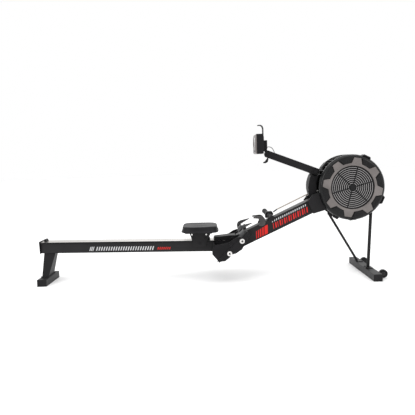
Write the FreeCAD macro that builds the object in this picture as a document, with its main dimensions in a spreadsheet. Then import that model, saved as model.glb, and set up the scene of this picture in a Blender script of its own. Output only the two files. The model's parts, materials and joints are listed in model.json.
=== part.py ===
"""Air-braked rowing machine, as separate pieces in one assembly.

Millimetres. +X runs from the rear foot to the flywheel, +Z is up and Y is across.
The origin is on the floor under the middle of the machine's bounding box.
"""
import FreeCAD, Part
import math
import os
import PartDesign
import Sketcher

V = FreeCAD.Vector

# Driving dimensions: alias, value in mm or degrees, meaning.
SIZES = [
    ("flywheel_reach", 826, "rail's front end to the flywheel axis"),
    ("housing_reach", 243, "flywheel axis to the foremost clamp block"),
    ("flywheel_height", 624, "flywheel axis above the floor"),
    ("front_foot_width", 610, "front foot bar, across"),
    ("rear_foot_width", 296, "rear foot bar, across"),
    ("foot_bar_depth", 59, "front foot bar, along the machine"),
    ("rear_bar_depth", 66, "rear foot bar, along the machine"),
    ("foot_bar_rise", 48, "foot bars, above the floor"),
    ("cap_wall", 4, "foot bar end caps"),
    ("rail_length", 1411, "rail, end to end"),
    ("rail_tilt", 1.2, "rail's fall towards the flywheel, degrees"),
    ("rail_top", 301, "top of the track at the rear"),
    ("rail_width", 84, "rail box, across"),
    ("rail_depth", 72, "rail box, top to bottom"),
    ("rail_wall", 4, "rail box wall"),
    ("track_width", 110, "steel running track, across"),
    ("track_thick", 9, "steel running track"),
    ("beam_width", 100, "main beam, across"),
    ("beam_depth", 94, "main beam, top to bottom"),
    ("beam_wall", 4, "main beam wall"),
    ("beam_angle", 24.2, "main beam's rise, degrees"),
    ("beam_length", 655, "main beam, end to end"),
    ("foot_angle", 43, "footrest's rise, degrees"),
    ("foot_length", 303, "footrest bracket, heel to toe"),
    ("flange_depth", 38, "footrest bracket's flange"),
    ("bracket_gap", 58, "centre plane to a footrest bracket's inner face"),
    ("bracket_thick", 4, "footrest bracket plate"),
    ("board_inner", 72, "centre plane to a foot board's inner edge"),
    ("board_width", 130, "foot board, across"),
    ("board_thick", 20, "foot board"),
    ("cup_wall", 4, "heel cup wall"),
    ("seat_station", 1162, "rear foot's back face to the seat's middle"),
    ("seat_length", 266, "seat pad, along the rail"),
    ("seat_width", 300, "seat pad, across"),
    ("seat_thick", 47, "seat pad"),
    ("seat_lift", 64, "track to the underside of the seat pad"),
    ("roller_radius", 19, "seat's top rollers"),
    ("lower_roller_radius", 10, "seat's lower rollers"),
    ("roller_bore", 4.05, "bore of the seat's rollers"),
    ("roller_pin", 4, "pins through the seat's rollers"),
    ("fan_radius", 196, "flywheel fan"),
    ("fan_width", 64, "flywheel fan, across"),
    ("fan_offset", -42, "centre plane to the fan's middle"),
    ("sprocket_radius", 27, "drive sprocket's pitch circle"),
    ("guide_radius", 10, "chain guide roller"),
    ("axle_radius", 8, "flywheel axle"),
    ("axle_running", 0.05, "radial running clearance on axles and pins"),
    ("cover_radius", 230, "flywheel housing"),
    ("cover_face", 118, "centre plane to the housing's near face"),
    ("cover_wall", 4, "flywheel housing shells"),
    ("opening_radius", 150, "air intake in the near cover"),
    ("ring_thick", 6, "damper ring"),
    ("lobe_radius", 208, "damper ring, to the tips of its lobes"),
    ("lobe_count", 8, "damper ring's lobes"),
    ("arm_length", 385, "console arm, pivot to tip"),
    ("arm_angle", 21.8, "console arm's rise towards the seat, degrees"),
    ("arm_depth", 50, "console arm, top to bottom"),
    ("arm_width", 34, "console arm, across"),
    ("console_width", 200, "console, across"),
    ("console_height", 138, "console, top to bottom"),
    ("console_thick", 46, "console's case, front to back"),
    ("grip_radius", 17, "handle's grips"),
    ("handle_width", 500, "handle, across"),
    ("handle_core", 12, "handle bar's radius"),
    ("wheel_radius", 27.6, "transport wheels"),
    ("wheel_track", 216, "centre plane to a transport wheel"),
    ("end_cover", 158, "moulded cover over the rail's front end, along the rail"),
    ("cable_radius", 2.2, "lead between the console and the arm, outer radius"),
    ("seam", 0.3, "gap between pieces that stand face to face"),
]

doc = FreeCAD.newDocument("rowing_machine")
sheet = doc.addObject("Spreadsheet::Sheet", "Dims")
for row, (alias, value, meaning) in enumerate(SIZES, start=1):
    sheet.set("A%d" % row, meaning)
    sheet.set("B%d" % row, str(value))
    sheet.setAlias("B%d" % row, alias)
doc.recompute()

nodes = []


def size(alias):
    """One driving dimension, as a number."""
    return float(sheet.get(alias))


def keep(item, label):
    """List a finished sub-part under its node name."""
    item.Label = label
    nodes.append(item)
    return item


def at_x(station):
    """A station from the rear foot's back face, as a place on X."""
    return station - (size("rail_length") + size("flywheel_reach") + size("cover_radius")) / 2


def at_front(gap):
    """X of a place set out from the rail's front end."""
    return at_x(size("rail_length") + gap)


def ray(origin, degrees):
    """A tilted line's frame in the XZ plane: place(along, above) gives a point on it."""
    c = math.cos(math.radians(degrees))
    d = math.sin(math.radians(degrees))

    def place(along, above=0.0):
        return (origin[0] + along * c - above * d, origin[1] + along * d + above * c)
    return place


# ---- Ways of making a piece ------------------------------------------------

def plane_of(body, role):
    return next(item for item in body.Origin.OriginFeatures if item.Role == role)


def new_sketch(body, role):
    sketch = body.newObject("Sketcher::SketchObject", "Outline")
    sketch.AttachmentSupport = [(plane_of(body, role), "")]
    sketch.MapMode = "FlatFace"
    return sketch


def pin_point(sketch, geometry, which, point):
    """Hold one point of a sketch at its two coordinates."""
    sketch.addConstraint(Sketcher.Constraint("DistanceX", -1, 1, geometry, which, point[0]))
    sketch.addConstraint(Sketcher.Constraint("DistanceY", -1, 1, geometry, which, point[1]))


def add_polygon(sketch, points):
    """A closed run of straight edges."""
    first = sketch.GeometryCount
    count = len(points)
    for k in range(count):
        start = V(points[k][0], points[k][1], 0)
        end = V(points[(k + 1) % count][0], points[(k + 1) % count][1], 0)
        sketch.addGeometry(Part.LineSegment(start, end))
    for k in range(count):
        following = first + (k + 1) % count
        sketch.addConstraint(Sketcher.Constraint("Coincident", first + k, 2, following, 1))
        pin_point(sketch, first + k, 1, points[k])


def prism(label, outline, thickness, centre_y=0.0):
    """A plate or block: an XZ outline, padded evenly about Y = centre_y."""
    body = doc.addObject("PartDesign::Body", "Body")
    sketch = new_sketch(body, "XZ_Plane")
    add_polygon(sketch, outline)
    pad = body.newObject("PartDesign::Pad", "Pad")
    pad.Profile = sketch
    pad.SideType = "Symmetric"
    pad.setExpression("Length", thickness)
    body.Placement = FreeCAD.Placement(V(0, centre_y, 0), FreeCAD.Rotation())
    return keep(body, label)


def turned(label, profile, centre):
    """A piece turned about a line along Y; profile points are (y, radius)."""
    body = doc.addObject("PartDesign::Body", "Body")
    sketch = new_sketch(body, "YZ_Plane")
    add_polygon(sketch, profile)
    spin = body.newObject("PartDesign::Revolution", "Revolution")
    spin.Profile = sketch
    spin.ReferenceAxis = (sketch, ["H_Axis"])
    spin.Angle = 360
    body.Placement = FreeCAD.Placement(V(*centre), FreeCAD.Rotation())
    return keep(body, label)


def box_tube(label, width, depth, wall, length, start, tilt):
    """A rectangular tube from start, its top face along the run; tilt is its rise."""
    body = doc.addObject("PartDesign::Body", "Body")
    sketch = new_sketch(body, "YZ_Plane")
    half = size(width) / 2
    low = -size(depth)
    skin = size(wall)
    add_polygon(sketch, [(-half, low), (half, low), (half, 0), (-half, 0)])
    add_polygon(sketch, [(-half + skin, low + skin), (half - skin, low + skin),
                         (half - skin, -skin), (-half + skin, -skin)])
    pad = body.newObject("PartDesign::Pad", "Pad")
    pad.Profile = sketch
    pad.setExpression("Length", "Dims." + length)
    turn = FreeCAD.Rotation(V(0, 1, 0), -tilt)
    body.Placement = FreeCAD.Placement(V(start[0], 0, start[1]), turn)
    return keep(body, label)


def rod(radius, start, end):
    """A plain round bar between two points; radius is an expression over the sheet."""
    bar = doc.addObject("Part::Cylinder", "Rod")
    run = V(*end) - V(*start)
    bar.setExpression("Radius", radius)
    bar.Height = run.Length
    bar.Placement = FreeCAD.Placement(V(*start), FreeCAD.Rotation(V(0, 0, 1), run))
    return bar


def block(low, high):
    """A plain box between two corners."""
    item = doc.addObject("Part::Box", "Block")
    item.Length = high[0] - low[0]
    item.Width = high[1] - low[1]
    item.Height = high[2] - low[2]
    item.Placement = FreeCAD.Placement(V(*low), FreeCAD.Rotation())
    return item


def cut(base, tool):
    item = doc.addObject("Part::Cut", "Cut")
    item.Base = base
    item.Tool = tool
    return item


def fuse(members):
    item = doc.addObject("Part::MultiFuse", "Fuse")
    item.Shapes = members
    return item


def group(label, members):
    """Separate solids that share one node."""
    item = doc.addObject("Part::Compound", "Group")
    item.Links = members
    return keep(item, label)


# ---- Shared lines and places -------------------------------------------------

SEAM = size("seam")
FOOT_TOP = size("foot_bar_rise")
rail = ray((at_x(7), size("rail_top")), -size("rail_tilt"))
box_top = -size("track_thick")
box_bottom = box_top - size("rail_depth")
beam = ray((at_front(9.5), 302.7), size("beam_angle"))
foot = ray((at_front(-119), 132), size("foot_angle"))
axle_x = at_front(size("flywheel_reach"))
axle_z = size("flywheel_height")
arm_pivot = (at_front(591), 742)
arm = ray(arm_pivot, 180 - size("arm_angle"))
front_bar_x = at_front(940)
rear_bar_x = at_x(size("rear_bar_depth") / 2)
seat_along = (size("seat_station") - 7) / math.cos(math.radians(size("rail_tilt")))


def at_y(point, y):
    return (point[0], y, point[1])


def both(maker):
    """The near and the far one of a pair, made by maker(sign)."""
    return [maker(sign) for sign in (-1, 1)]


def foot_bar(label, x, depth, width):
    """A foot bar lies across the machine on the floor, its ends held by caps."""
    half = size(width) / 2 - size("cap_wall")
    reach = size(depth) / 2
    keep(block((x - reach, -half, 0), (x + reach, half, FOOT_TOP)), label + "_bar")
    caps = both(lambda sign: block(
        (x - reach, min(sign * half, sign * size(width) / 2), 0),
        (x + reach, max(sign * half, sign * size(width) / 2), FOOT_TOP)))
    group(label + "_caps", caps)


# ---- Rail and rear leg -------------------------------------------------------

def build_rail():
    box_tube("monorail", "rail_width", "rail_depth", "rail_wall", "rail_length",
             rail(0, box_top), -size("rail_tilt"))
    long = size("rail_length")
    prism("rail_track", [rail(0), rail(long), rail(long, box_top), rail(0, box_top)],
          "Dims.track_width")
    prism("rail_rear_cap", [rail(-7, 6), rail(-SEAM, 6), rail(-SEAM, box_bottom - 2),
                            rail(-3, box_bottom - 2)], "Dims.track_width + 8")
    front = seat_along + 34 + size("roller_radius") + 1
    prism("front_seat_stop", [rail(front), rail(front, 16), rail(front + 14, 16),
                              rail(front + 18)], "50")
    start = size("rail_length") - size("end_cover")
    prism("rail_end_cover", [rail(start, SEAM), rail(start, 17), rail(start + 6, 22),
                             rail(start + 110, 34), rail(long - 2, 36), rail(long - 2, SEAM)],
          "Dims.beam_width")
    prism("rear_seat_stop", [rail(20), rail(20, 18), rail(34, 18), rail(38)], "50")


def build_rear_leg():
    top = rail(62, box_bottom)
    leg = doc.addObject("PartDesign::Body", "Body")
    rows = [(rear_bar_x, FOOT_TOP + 4, 46, 130), (top[0] - 2, top[1] - SEAM - 1, 83, 60)]
    sections = []
    for x, z, deep, wide in rows:
        sketch = new_sketch(leg, "XY_Plane")
        sketch.AttachmentOffset = FreeCAD.Placement(V(0, 0, z), FreeCAD.Rotation())
        add_polygon(sketch, [(x - deep / 2, -wide / 2), (x + deep / 2, -wide / 2),
                             (x + deep / 2, wide / 2), (x - deep / 2, wide / 2)])
        sections.append(sketch)
    loft = leg.newObject("PartDesign::AdditiveLoft", "Loft")
    loft.Profile = sections[0]
    loft.Sections = [sections[1]]
    loft.Ruled = True
    keep(leg, "rear_leg")
    keep(block((rear_bar_x - 29, -72, FOOT_TOP), (rear_bar_x + 29, 72, FOOT_TOP + 4)),
         "rear_leg_base")
    foot_bar("rear_foot", rear_bar_x, "rear_bar_depth", "rear_foot_width")
    bolts = [rod("3.9", (rear_bar_x + dx, dy, FOOT_TOP + 4), (rear_bar_x + dx, dy, FOOT_TOP + 9))
             for dx in (-26, 26) for dy in (-68, 68)]
    group("rear_leg_bolts", bolts)


# ---- Beam, joint block and footrests -------------------------------------------

def build_beam():
    box_tube("main_beam", "beam_width", "beam_depth", "beam_wall", "beam_length",
             beam(0), size("beam_angle"))
    end = rail(size("rail_length"))
    edge = end[0] + SEAM
    low = rail(size("rail_length") - 90, box_bottom - SEAM)
    corner = beam(-SEAM, -size("beam_depth"))
    prism("joint_block", [(low[0], low[1] - 28), (low[0] + 72, low[1] - 26),
                          (corner[0] - 3, corner[1] - 12), corner, beam(-SEAM, -22),
                          (edge, end[1] - 1), (edge, rail(size("rail_length"), box_bottom)[1] - 1),
                          low], "92")


def build_footrests():
    long = size("foot_length")
    deep = size("flange_depth")
    outline = [foot(0), foot(long), foot(long - 6, -deep), foot(40, -deep), foot(22, -deep + 4),
               foot(6, -14)]
    mid = size("bracket_gap") + size("bracket_thick") / 2
    for sign, side in ((-1, "near"), (1, "far")):
        prism("footrest_bracket_" + side, outline, "Dims.bracket_thick", sign * mid)
        build_foot(sign, side)
    edge = size("board_inner") + size("board_width") + SEAM
    reach = edge + size("bracket_thick")
    rim = [foot(2, 24), foot(20, 4.8), foot(45, -14.6), foot(86, -18.3), foot(111, -13.2),
           foot(134, -28.9), foot(184, -37.8), foot(244, -22), foot(296, 2), foot(long, 24)]
    heads = []
    for sign, side in ((-1, "near"), (1, "far")):
        prism("footrest_flange_" + side, rim, "Dims.bracket_thick", sign * (edge + reach) / 2)
        for centre in (foot(103.6, 1.5), foot(225.4, 2.6)):
            heads.append(rod("17", at_y(centre, sign * reach), at_y(centre, sign * (reach + 5))))
    group("footrest_bolt_heads", heads)
    spacers = []
    for along, inner in ((86, 46), (214, 50)):
        centre = foot(along, -21.5)
        for sign in (-1, 1):
            spacers.append(rod("9", at_y(centre, sign * inner),
                               at_y(centre, sign * size("bracket_gap"))))
    group("footrest_spacers", spacers)
    group("footrest_cross_plate", both(cross_plate))


def cross_plate(sign):
    """A steel tongue that carries one foot board, welded to its bracket."""
    inner = size("bracket_gap") + size("bracket_thick")
    outer = size("board_inner") + size("board_width") - 10
    start = foot(222, SEAM)
    plate = doc.addObject("Part::Box", "Plate")
    plate.Length = 60
    plate.Width = outer - inner
    plate.Height = 4
    low = inner if sign > 0 else -outer
    plate.Placement = FreeCAD.Placement(V(start[0], low, start[1]),
                                        FreeCAD.Rotation(V(0, 1, 0), -size("foot_angle")))
    return plate


def build_foot(sign, side):
    """One foot: its board, sliding heel cup, strap, buckle and adjuster."""
    middle = sign * (size("board_inner") + size("board_width") / 2)
    thick = size("board_thick")
    base = 4 + 2 * SEAM
    prism("foot_board_" + side, [foot(8, base), foot(long_board(), base),
                                 foot(long_board(), base + thick), foot(8, base + thick)],
          "Dims.board_width - 2 * Dims.seam", middle)
    floor = base + thick + 0.4
    wall = size("cup_wall")
    outer = [foot(10, floor), foot(237, floor), foot(233, 36), foot(202, 50), foot(164, 57),
             foot(120, 79), foot(66, 121), foot(14, 82)]
    shell = [foot(10 + wall, floor + wall), foot(300, floor + wall), foot(300, 200),
             foot(66 + wall, 200), foot(66 + wall, 118), foot(14 + wall, 80)]
    body = solid_prism(outer, size("board_width") - 2, middle)
    void = solid_prism(shell, size("board_width") - 2 - 2 * wall, middle)
    keep(cut(body, void), "heel_cup_" + side)
    pin = foot(150, 38)
    rim = middle + sign * (size("board_width") / 2 - 1)
    keep(rod("13", at_y(pin, rim), at_y(pin, rim + sign * 9)), "heel_cup_knob_" + side)
    strap_at = 266
    half = size("board_width") / 2 - 4
    rise = 52
    lean = [foot(strap_at - 18, rise), foot(strap_at + 22, rise), foot(strap_at + 12, floor),
            foot(strap_at - 28, floor)]
    band = solid_prism(lean, 2 * half + 6, middle)
    inside = solid_prism([foot(strap_at - 60, rise - 3), foot(strap_at + 60, rise - 3),
                          foot(strap_at + 60, -10), foot(strap_at - 90, -10)], 2 * half, middle)
    keep(cut(band, inside), "foot_strap_" + side)
    spot = foot(strap_at - 12, rise + SEAM)
    clip = doc.addObject("Part::Box", "Clip")
    clip.Length = 30
    clip.Width = 44
    clip.Height = 9
    clip.Placement = FreeCAD.Placement(V(spot[0], middle - 22, spot[1]),
                                       FreeCAD.Rotation(V(0, 1, 0), -size("foot_angle")))
    keep(clip, "strap_buckle_" + side)


def long_board():
    return size("foot_length") - 8


def solid_prism(outline, thickness, centre_y):
    """A plain extruded solid for booleans: an XZ outline about Y = centre_y."""
    wire = Part.makePolygon([V(p[0], centre_y - thickness / 2, p[1])
                             for p in outline + outline[:1]])
    item = doc.addObject("Part::Feature", "Prism")
    item.Shape = Part.Face(wire).extrude(V(0, thickness, 0))
    return item


# ---- Sliding seat ----------------------------------------------------------------

def build_seat():
    half = size("seat_length") / 2
    low = size("seat_lift")
    high = low + size("seat_thick")
    pad = solid_prism([rail(seat_along - half, low + 6), rail(seat_along - half + 8, low),
                       rail(seat_along + half - 8, low), rail(seat_along + half, low + 6),
                       rail(seat_along + half - 9, high - 10), rail(seat_along + half - 22, high),
                       rail(seat_along - half + 22, high), rail(seat_along - half + 9, high - 10)],
                      size("seat_width"), 0)
    keep(pad, "seat_pad")
    prism("seat_pan", [rail(seat_along - 110, low - SEAM), rail(seat_along + 92, low - SEAM),
                       rail(seat_along + 84, low - 6), rail(seat_along - 100, low - 6)], "230")
    plate = [rail(seat_along - 76, low - 6 - SEAM), rail(seat_along + 78, low - 6 - SEAM),
             rail(seat_along + 50, -3), rail(seat_along + 38, -44), rail(seat_along - 46, -44),
             rail(seat_along - 56, -3)]
    for sign, side in ((-1, "near"), (1, "far")):
        prism("carriage_plate_" + side, plate, "4", sign * 63)
    running = size("roller_radius")
    small = size("lower_roller_radius")
    under = box_top - SEAM - small
    pins = []
    for name, along in (("rear", seat_along - 44), ("front", seat_along + 34)):
        spot = rail(along, running + 0.05)
        wheel = [turned_ring(spot, sign * 34, running, 26) for sign in (-1, 1)]
        group("seat_rollers_" + name, wheel)
        pins.append(rod("Dims.roller_pin", at_y(spot, -61), at_y(spot, 61)))
    spot = rail(seat_along - 4, under)
    for sign, side in ((-1, "near"), (1, "far")):
        keep(turned_ring(spot, sign * 50.5, small, 11), "guide_roller_" + side)
        pins.append(rod("Dims.roller_pin", at_y(spot, sign * 44.5), at_y(spot, sign * 61)))
    group("seat_axles", pins)
    heads = []
    for along, above, out, name in ((-44, running, 7, "axle"), (34, running, 7, "axle"),
                                    (-4, under, 7, "axle"), (-58, 46, 5.5, "pan"),
                                    (44, 46, 5.5, "pan")):
        for sign in (-1, 1):
            place = rail(seat_along + along, above)
            heads.append((name, rod(str(out), at_y(place, sign * 65), at_y(place, sign * 70))))
    for wanted in ("axle", "pan"):
        group("seat_%s_nuts" % wanted, [item for name, item in heads if name == wanted])


def turned_ring(spot, centre_y, radius, width):
    """A roller with a bore for its pin."""
    tyre = rod(str(radius), at_y(spot, centre_y - width / 2), at_y(spot, centre_y + width / 2))
    hole = rod("Dims.roller_bore", at_y(spot, centre_y - width), at_y(spot, centre_y + width))
    return cut(tyre, hole)


# ---- Flywheel and its housing ---------------------------------------------------

def polar(radius, degrees):
    """A point around the flywheel axis, in X and Z."""
    turn = math.radians(degrees)
    return (axle_x + radius * math.cos(turn), axle_z + radius * math.sin(turn))


def hub_point(y):
    return (axle_x, y, axle_z)


def disc(radius, y_low, y_high):
    """A plain disc on the flywheel axis."""
    return rod(str(radius), hub_point(y_low), hub_point(y_high))


def annulus(outer, inner, y_low, y_high):
    return cut(disc(outer, y_low, y_high), disc(inner, y_low - 1, y_high + 1))


def build_flywheel():
    half = size("fan_width") / 2
    middle = size("fan_offset")
    snug = size("axle_radius") + size("axle_running")
    rim = size("fan_radius")
    keep(disc(size("axle_radius"), -92, 100), "flywheel_axle")
    keep(annulus(36, snug, middle - half, middle + half), "flywheel_hub")
    keep(annulus(rim, 36 + SEAM, middle - 3, middle + 3), "flywheel_disc")
    blades = []
    count = 16
    for k in range(count):
        turn = 360 * k / count
        root = polar(60, turn)
        tip = polar(rim - 4, turn + 9)
        across = math.radians(turn + 94)
        off = (1.5 * math.cos(across), 1.5 * math.sin(across))
        quad = [(root[0] - off[0], root[1] - off[1]), (tip[0] - off[0], tip[1] - off[1]),
                (tip[0] + off[0], tip[1] + off[1]), (root[0] + off[0], root[1] + off[1])]
        for sign in (-1, 1):
            wide = half - 3 - SEAM
            blades.append(solid_prism(quad, wide, middle + sign * (3 + SEAM + wide / 2)))
    group("fan_blades", blades)
    keep(annulus(size("sprocket_radius"), snug, -3.5, 3.5), "drive_sprocket")
    bearings = [annulus(19, snug, low, low + 10) for low in (-86, 76)]
    group("flywheel_bearings", bearings)


def build_housing():
    outer = size("cover_radius")
    face = size("cover_face")
    wall = size("cover_wall")
    mouth = size("opening_radius")
    near = [(-88, outer), (-face + 22, outer - 1), (-face + 6, outer - 10), (-face, outer - 24),
            (-face, mouth), (-face + wall, mouth), (-face + wall, outer - 25),
            (-face + 9, outer - 13), (-face + 23, outer - 5), (-88, outer - wall)]
    turned("near_cover", near, hub_point(0))
    far = [(88, outer), (face - 22, outer - 1), (face - 6, outer - 10), (face, outer - 24),
           (face, 0), (face - wall, 0), (face - wall, outer - 25), (face - 9, outer - 13),
           (face - 23, outer - 5), (88, outer - wall)]
    turned("far_cover", far, hub_point(0))
    slats = []
    for k in range(44):
        turn = 360 * k / 44
        if 158 < turn < 258 or 290 < turn < 320:
            continue
        a = polar(outer - 8, turn)
        b = polar(outer, turn)
        side = math.radians(turn + 90)
        off = (3 * math.cos(side), 3 * math.sin(side))
        quad = [(a[0] - off[0], a[1] - off[1]), (b[0] - off[0], b[1] - off[1]),
                (b[0] + off[0], b[1] + off[1]), (a[0] + off[0], a[1] + off[1])]
        slats.append(solid_prism(quad, 176 - 2 * SEAM, 0))
    step = 15
    for k in range(24):
        near_end, far_end = step * k, step * (k + 1) - 0.02
        quad = [polar(outer - 13, near_end), polar(outer - 8 - SEAM, near_end),
                polar(outer - 8 - SEAM, far_end), polar(outer - 13, far_end)]
        slats += [solid_prism(quad, 6, y) for y in (-44, 44)]
    group("cage_slats", slats)
    build_grille(mouth, face)
    build_damper(face)
    blocks = []
    for turn, middle in ((63, -66), (-24.5, -66), (138, 0), (276, 0)):
        blocks.append(clamp_block(outer, turn, middle))
    group("cage_clamps", blocks)


def clamp_block(outer, turn, middle):
    """A squared boss that clamps the two halves of the cage."""
    reach = size("housing_reach")
    a, b = polar(outer + SEAM, turn - 8), polar(reach, turn - 5.5)
    c, d = polar(reach, turn + 5.5), polar(outer + SEAM, turn + 8)
    inner = polar(outer + 1.6, turn)
    return solid_prism([a, b, c, d, inner], 66, middle)


def build_grille(mouth, face):
    """Concentric rings on six spokes behind the damper ring."""
    rings = [annulus(radius + 3.2, radius - 3.2, -face + 2, -face + 5)
             for radius in (30 + 13.5 * k for k in range(9))]
    rim = annulus(mouth - SEAM, mouth - 7, -face, -face + 6)
    spokes = []
    for k in range(6):
        a = polar(20, 60 * k + 15)
        b = polar(mouth - 4, 60 * k + 15)
        side = math.radians(60 * k + 105)
        off = (3.5 * math.cos(side), 3.5 * math.sin(side))
        quad = [(a[0] - off[0], a[1] - off[1]), (b[0] - off[0], b[1] - off[1]),
                (b[0] + off[0], b[1] + off[1]), (a[0] + off[0], a[1] + off[1])]
        spokes.append(solid_prism(quad, 3, -face + 3.5))
    keep(fuse([rim, disc(23, -face + 1.5, -face + 5.5)] + rings + spokes), "intake_grille")
    keep(disc(17, -face - 2.5, -face + 1.5 - SEAM), "grille_hub_cap")


def build_damper(face):
    """The lobed damper ring and its dark thumb pads turn together on the near cover."""
    base = -face - SEAM
    top = base - size("ring_thick")
    outline = []
    count = int(size("lobe_count"))
    inner = size("opening_radius") + 16
    for k in range(count):
        turn = 35 + 360 * k / count
        outline += [polar(inner, turn - 13), polar(size("lobe_radius"), turn - 6.5),
                    polar(size("lobe_radius"), turn + 6.5), polar(inner, turn + 13)]
    lobes = solid_prism(outline, size("ring_thick"), (base + top) / 2)
    ring = cut(fuse([lobes, disc(inner + 3, top, base)]),
               disc(size("opening_radius") + 1, top - 1, base + 1))
    keep(ring, "damper_ring")
    pads = []
    for k in range(count):
        turn = 35 + 360 * (k + 0.5) / count
        points = [polar(inner + 5, turn + step) for step in (-8, 0, 8)]
        points += [polar(size("lobe_radius") - 1, turn + step) for step in (13, 6, -6, -13)]
        pads.append(solid_prism(points, 8, base - 4))
    group("damper_pads", pads)


def build_frame_head():
    """Side plates tie the beam, the axle, the struts and the console arm together."""
    inner = size("beam_width") / 2
    side = [beam(560, 2), beam(610, 30), (axle_x - 30, axle_z + 34), (axle_x + 30, axle_z + 34),
            polar(218, -39), polar(218, -58), polar(110, -90), polar(246, 246), polar(246, 238),
            beam(690, -size("beam_depth") - 20), beam(560, -size("beam_depth"))]
    for sign, name in ((-1, "near"), (1, "far")):
        hole = disc(19.3, -120, 120)
        keep(cut(solid_prism(side, 8, sign * (inner + 31)), hole), "frame_plate_" + name)
    tie = [rod("8", at_y(beam(along, above), -inner - 26.8), at_y(beam(along, above), -inner - 0.2))
           for along, above in ((590, -30), (640, -66))]
    tie += [rod("8", at_y(beam(along, above), inner + 0.2), at_y(beam(along, above), inner + 26.8))
            for along, above in ((590, -30), (640, -66))]
    group("frame_spacers", tie)


def build_shroud():
    """The chain case closes the housing towards the seat."""
    centre = (at_front(719), 634)
    arc = []
    for step in range(9):
        turn = math.radians(146 + step * 8)
        arc.append((centre[0] + 182 * math.cos(turn), centre[1] + 182 * math.sin(turn)))
    inner = [polar(size("cover_radius") + 4, turn) for turn in (197, 190, 183, 176, 169, 162, 157)]
    wall = size("cover_wall")
    low, high = -28, 72
    deep = high - low
    middle = (low + high) / 2
    solid = solid_prism(arc + inner, deep, middle)
    void = solid_prism([(p[0] + wall + 1, p[1]) for p in arc + inner], deep - 2 * wall, middle)
    mouth = solid_prism([(at_front(519), 560), (at_front(579), 560), (at_front(579), 604),
                         (at_front(519), 604)],
                        26, 0)
    under = solid_prism([beam(400, 2), beam(900, 2), beam(900, -150), beam(400, -150)], 200, 0)
    pivot_room = rod("34", at_y(arm_pivot, -40), at_y(arm_pivot, 40))
    arm_room = solid_prism([arm(-10, -30), arm(190, -30), arm(184, 72), arm(-10, 34)],
                           size("arm_width") + 5, 0)
    keep(cut(cut(solid, void), fuse([mouth, under, pivot_room, arm_room])), "chain_case")
    keep(solid_prism([(at_front(542), 548), (at_front(589), 570), (at_front(595), 640),
                      (at_front(585), 700),
                      (at_front(547), 700), (at_front(534), 630)], 5, -31), "shroud_plate")
    screws = [rod("6", (at_front(565), -36.5, z), (at_front(565), -33.5, z)) for z in (584, 680)]
    group("shroud_screws", screws)


# ---- Handle and chain -------------------------------------------------------------

def build_handle():
    """The bar is straight, with ribbed grips and a block that takes the chain."""
    half = size("handle_width") / 2
    x, z = at_front(247), 442
    core = size("handle_core")
    keep(rod("Dims.handle_core", (x, -half + 10, z), (x, half - 10, z)), "handle_bar")
    for sign, side in ((-1, "near"), (1, "far")):
        grip = size("grip_radius")
        tube = rod("Dims.grip_radius", (x, sign * 92, z), (x, sign * (half - 10), z))
        hole = rod("Dims.handle_core + 0.05", (x, sign * 80, z), (x, sign * half, z))
        cuts = [hole]
        for k in range(18):
            y = sign * (98 + 8 * k)
            groove = rod("Dims.grip_radius + 1", (x, y, z), (x, y + sign * 2, z))
            cuts.append(cut(groove, rod("Dims.grip_radius - 1.2", (x, y - 1, z),
                                        (x, y + 3 * sign, z))) if sign > 0 else
                        cut(groove, rod("Dims.grip_radius - 1.2", (x, y + 1, z), (x, y - 3, z))))
        keep(cut(tube, fuse(cuts)), "handle_grip_" + side)
        keep(rod("Dims.grip_radius + 2", (x, sign * (half - 10 + SEAM), z),
                 (x, sign * half, z)), "handle_end_" + side)
    hub = solid_prism([(x - 20, z - 22), (x + 22, z - 20), (x + 36, z + 6), (x + 26, z + 24),
                       (x - 14, z + 22), (x - 22, z + 4)], 56, 0)
    keep(cut(hub, rod("Dims.handle_core + 0.05", (x, -40, z), (x, 40, z))), "handle_block")
    start = (x + 37, z + 17)
    keep(rod("4.5", at_y(start, 0), (at_front(313), 0, 478)), "chain_shackle")
    run_end = (at_front(534), 580)
    keep(rod("4", (at_front(314), 0, 478.5), at_y(run_end, 0)), "drive_chain")


def build_hooks():
    """Two grey hooks on the beam's sides hold the handle while it is not in use."""
    x, z = at_front(134), 429
    outline = [(x, z - 5), (x + 4, z + 5), (x + 60, z + 9), (x + 76, z + 2), (x + 86, z - 12),
               (x + 88, z - 34), (x + 84, z - 52), (x + 66, z - 62), (x + 40, z - 60),
               (x + 42, z - 44), (x + 50, z - 32), (x + 46, z - 14), (x + 34, z - 8)]
    for sign, side in ((-1, "near"), (1, "far")):
        prism("handle_hook_" + side, outline, "8", sign * (size("beam_width") / 2 + 4 + SEAM))


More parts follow.
